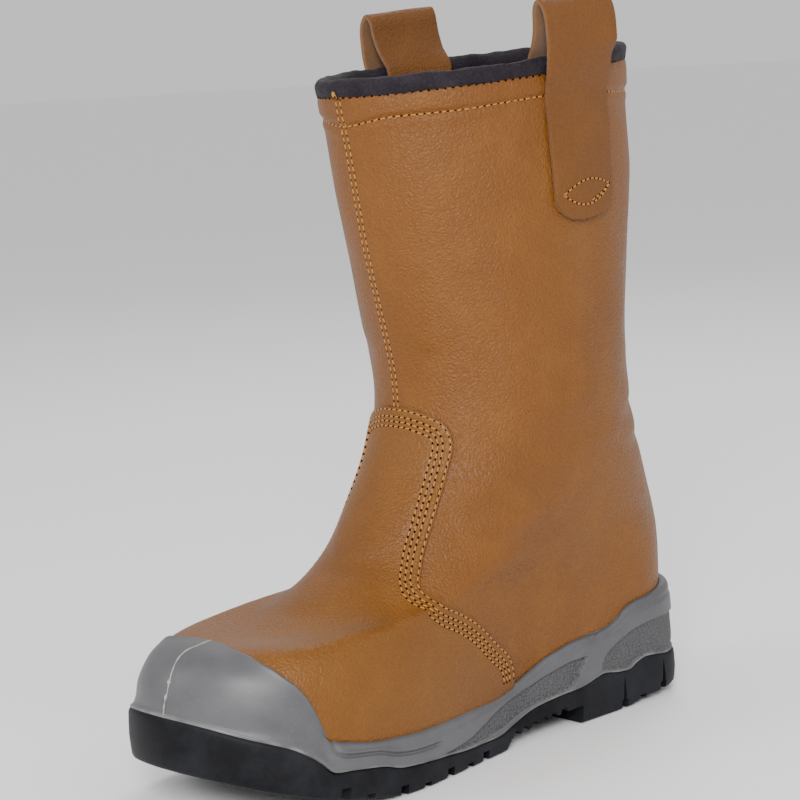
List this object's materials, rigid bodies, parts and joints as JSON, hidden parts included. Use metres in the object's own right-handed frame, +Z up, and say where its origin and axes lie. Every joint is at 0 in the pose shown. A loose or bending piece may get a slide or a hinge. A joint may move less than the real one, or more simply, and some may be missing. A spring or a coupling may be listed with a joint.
{
  "type": "rigger boot",
  "caption": "Pull-on work boot with a tall seamed leather shaft, padded collar, two pull loops, moulded toe guard and a deep lugged two-part sole.",
  "frame": {"origin": "on the ground, halfway along the sole's length and on the line that the heel and the collar are centred on", "axes": "+Z up, -Y towards the toe, +X towards the outer (lateral) side of the left foot"},
  "size_m": [0.122, 0.305, 0.3403],
  "materials": {
    "leather": "full-grain tan leather, fine pebble, soft sheen",
    "vamp_leather": "full-grain tan leather, slightly deeper tone, fine pebble",
    "backstay_leather": "full-grain tan leather strip",
    "binding": "charcoal padded knit binding and lining, matt",
    "strap_leather": "split leather strap, raw edges, matt",
    "insole_board": "grey felt-covered board",
    "midsole_foam": "moulded mid-grey polyurethane, satin, with fine stipple on the waist and heel panels",
    "outsole_rubber": "near-black dense polyurethane rubber, low sheen"
  },
  "bodies": {
    "root": {"upper": "leather", "vamp": "vamp_leather", "backstay": "backstay_leather", "collar_binding": "binding", "pull_loop_lateral": "strap_leather", "pull_loop_medial": "strap_leather", "insole": "insole_board", "midsole": "midsole_foam", "outsole": "outsole_rubber"}
  },
  "joints": []
}
